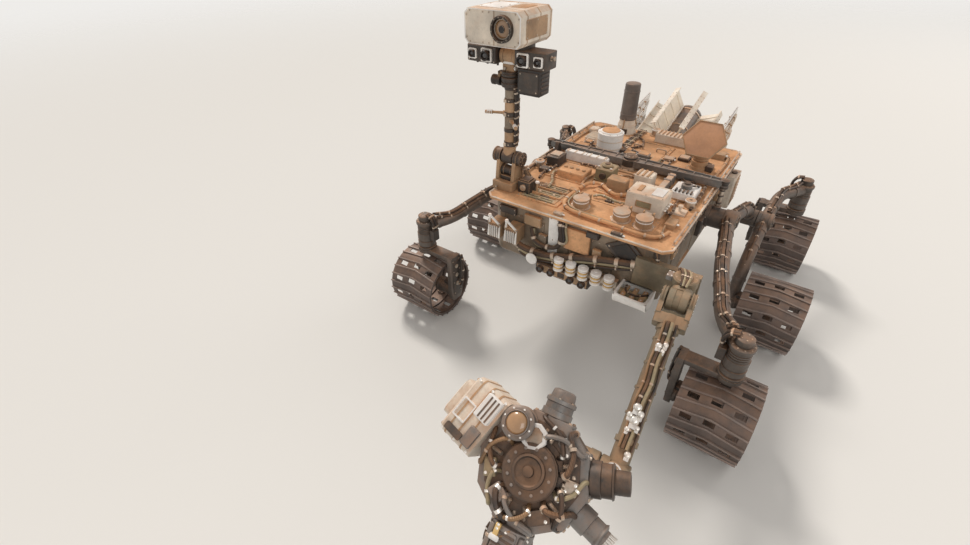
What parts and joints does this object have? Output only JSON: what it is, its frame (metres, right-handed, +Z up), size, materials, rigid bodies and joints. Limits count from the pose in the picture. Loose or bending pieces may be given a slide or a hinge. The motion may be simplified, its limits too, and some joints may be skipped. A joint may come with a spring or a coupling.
{
  "type": "six-wheeled planetary rover",
  "caption": "Wheeled planetary exploration rover with rocker suspension, camera mast, jointed arm with tool turret, antennas and a finned rear generator.",
  "frame": {"origin": "middle of the whole footprint, arm included, at ground level", "axes": "+Z up, -Y forward, +X to the rover's own left"},
  "size_m": [2.78, 4.3064, 2.19],
  "materials": {
    "white_paint": "matt white paint with orange dust",
    "deck_paint": "pale paint under a layer of orange dust",
    "bare_aluminium": "satin bare metal",
    "wheel_metal": "dark anodised, scuffed and dusty",
    "dark_metal": "dark grey coating",
    "mast_metal": "brown grey coating",
    "arm_metal": "khaki grey coating",
    "tool_metal": "satin machined metal",
    "antenna_skin": "brown skin",
    "relay_grey": "dark grey radome",
    "generator_grey": "grey coating, dusty"
  },
  "bodies": {
    "chassis": {"antenna_base": "bare_aluminium", "arm_bracket": "arm_metal", "belly_pan": "bare_aluminium", "bit_boxes": "white_paint", "body": "white_paint", "bogie_port": "dark_metal", "bogie_starboard": "dark_metal", "calibration_target": "white_paint", "canister_row": "bare_aluminium", "deck": "deck_paint", "deck_boxes": "white_paint", "differential_bar": "bare_aluminium", "differential_post": "bare_aluminium", "exchanger_plates": "white_paint", "front_housing": "white_paint", "generator": "generator_grey", "generator_mount": "bare_aluminium", "hazard_cameras": "white_paint", "inlet_middle": "deck_paint", "inlet_port": "deck_paint", "inlet_starboard": "deck_paint", "lift_points": "deck_paint", "low_gain_antenna": "white_paint", "mast_base": "white_paint", "observation_tray": "bare_aluminium", "relay_antenna": "relay_grey", "rocker_port": "dark_metal", "rocker_starboard": "dark_metal", "side_instruments": "white_paint"},
    "mast": {"mast_column": "mast_metal"},
    "head_pan": {"mast_yoke": "mast_metal"},
    "head": {"camera_bar": "mast_metal", "laser_head": "white_paint"},
    "antenna_turn": {"antenna_fork": "bare_aluminium"},
    "antenna_tip": {"antenna_dish": "antenna_skin"},
    "arm_azimuth": {"arm_shoulder": "arm_metal"},
    "arm_upper": {"upper_arm": "arm_metal"},
    "arm_fore": {"forearm": "arm_metal"},
    "arm_wrist": {"arm_wrist": "arm_metal"},
    "arm_turret": {"turret": "bare_aluminium", "drill": "tool_metal", "sample_processor": "tool_metal", "turret_sensors": "tool_metal"},
    "lid_port": {"inlet_cover_port": "deck_paint"},
    "lid_middle": {"inlet_cover_middle": "deck_paint"},
    "lid_starboard": {"inlet_cover_starboard": "deck_paint"},
    "wheel_front_port_body": {"wheel_front_port": "wheel_metal"},
    "knuckle_front_port_body": {"knuckle_front_port": "dark_metal"},
    "wheel_front_starboard_body": {"wheel_front_starboard": "wheel_metal"},
    "knuckle_front_starboard_body": {"knuckle_front_starboard": "dark_metal"},
    "wheel_middle_port_body": {"wheel_middle_port": "wheel_metal"},
    "wheel_middle_starboard_body": {"wheel_middle_starboard": "wheel_metal"},
    "wheel_rear_port_body": {"wheel_rear_port": "wheel_metal"},
    "knuckle_rear_port_body": {"knuckle_rear_port": "dark_metal"},
    "wheel_rear_starboard_body": {"wheel_rear_starboard": "wheel_metal"},
    "knuckle_rear_starboard_body": {"knuckle_rear_starboard": "dark_metal"}
  },
  "joints": [
    {"name": "steer_front_port", "type": "hinge", "parent": "chassis", "child": "knuckle_front_port_body", "pos_m": [1.1, -0.3724, 0.536], "axis": [0, 0, 1], "range_deg": [-95, 95]},
    {"name": "roll_front_port", "type": "hinge", "parent": "knuckle_front_port_body", "child": "wheel_front_port_body", "pos_m": [1.1, -0.3724, 0.25], "axis": [1, 0, 0], "continuous": true},
    {"name": "steer_front_starboard", "type": "hinge", "parent": "chassis", "child": "knuckle_front_starboard_body", "pos_m": [-1.1, -0.3724, 0.536], "axis": [0, 0, 1], "range_deg": [-95, 95]},
    {"name": "roll_front_starboard", "type": "hinge", "parent": "knuckle_front_starboard_body", "child": "wheel_front_starboard_body", "pos_m": [-1.1, -0.3724, 0.25], "axis": [1, 0, 0], "continuous": true},
    {"name": "roll_middle_port", "type": "hinge", "parent": "chassis", "child": "wheel_middle_port_body", "pos_m": [1.19, 0.7276, 0.25], "axis": [1, 0, 0], "continuous": true},
    {"name": "roll_middle_starboard", "type": "hinge", "parent": "chassis", "child": "wheel_middle_starboard_body", "pos_m": [-1.19, 0.7276, 0.25], "axis": [1, 0, 0], "continuous": true},
    {"name": "steer_rear_port", "type": "hinge", "parent": "chassis", "child": "knuckle_rear_port_body", "pos_m": [1.1, 1.8276, 0.536], "axis": [0, 0, 1], "range_deg": [-95, 95]},
    {"name": "roll_rear_port", "type": "hinge", "parent": "knuckle_rear_port_body", "child": "wheel_rear_port_body", "pos_m": [1.1, 1.8276, 0.25], "axis": [1, 0, 0], "continuous": true},
    {"name": "steer_rear_starboard", "type": "hinge", "parent": "chassis", "child": "knuckle_rear_starboard_body", "pos_m": [-1.1, 1.8276, 0.536], "axis": [0, 0, 1], "range_deg": [-95, 95]},
    {"name": "roll_rear_starboard", "type": "hinge", "parent": "knuckle_rear_starboard_body", "child": "wheel_rear_starboard_body", "pos_m": [-1.1, 1.8276, 0.25], "axis": [1, 0, 0], "continuous": true},
    {"name": "mast_fold", "type": "hinge", "parent": "chassis", "child": "mast", "pos_m": [-0.56, -0.0724, 1.315], "axis": [-1, 0, 0], "range_deg": [0, 90]},
    {"name": "head_pan", "type": "hinge", "parent": "mast", "child": "head_pan", "pos_m": [-0.56, -0.0724, 1.79], "axis": [0, 0, 1], "range_deg": [-181, 181]},
    {"name": "head_tilt", "type": "hinge", "parent": "head_pan", "child": "head", "pos_m": [-0.56, -0.0724, 1.935], "axis": [-1, 0, 0], "range_deg": [-87, 91]},
    {"name": "antenna_azimuth", "type": "hinge", "parent": "chassis", "child": "antenna_turn", "pos_m": [0.42, 0.9076, 1.29], "axis": [0, 0, 1], "range_deg": [-180, 180]},
    {"name": "antenna_elevation", "type": "hinge", "parent": "antenna_turn", "child": "antenna_tip", "pos_m": [0.42, 0.9076, 1.29], "axis": [-1, 0, 0], "range_deg": [-40, 85]},
    {"name": "shoulder_azimuth", "type": "hinge", "parent": "chassis", "child": "arm_azimuth", "pos_m": [0.74, -0.3624, 1], "axis": [0, 0, 1], "range_deg": [-65, 60]},
    {"name": "shoulder_elevation", "type": "hinge", "parent": "arm_azimuth", "child": "arm_upper", "pos_m": [0.75133, -0.49191, 1], "axis": [-0.9962, -0.0872, 0], "range_deg": [-39, 101]},
    {"name": "elbow", "type": "hinge", "parent": "arm_upper", "child": "arm_fore", "pos_m": [0.66914, -1.27349, 0.53647], "axis": [0.9962, 0.0872, 0], "range_deg": [-56, 174]},
    {"name": "wrist", "type": "hinge", "parent": "arm_fore", "child": "arm_wrist", "pos_m": [0.71267, -1.7711, 1.19933], "axis": [-0.9962, -0.0872, 0], "range_deg": [-105, 105]},
    {"name": "turret_spin", "type": "hinge", "parent": "arm_wrist", "child": "arm_turret", "pos_m": [0.71267, -1.7711, 1.19933], "axis": [0.0525, -0.5995, 0.7986], "range_deg": [-175, 175]},
    {"name": "inlet_lid_port", "type": "hinge", "parent": "chassis", "child": "lid_port", "pos_m": [0.39, -0.0144, 1.169], "axis": [-1, 0, 0], "range_deg": [0, 110]},
    {"name": "inlet_lid_middle", "type": "hinge", "parent": "chassis", "child": "lid_middle", "pos_m": [0.25, -0.0144, 1.169], "axis": [-1, 0, 0], "range_deg": [0, 110]},
    {"name": "inlet_lid_starboard", "type": "hinge", "parent": "chassis", "child": "lid_starboard", "pos_m": [-0.02, -0.0044, 1.169], "axis": [-1, 0, 0], "range_deg": [0, 110]}
  ]
}
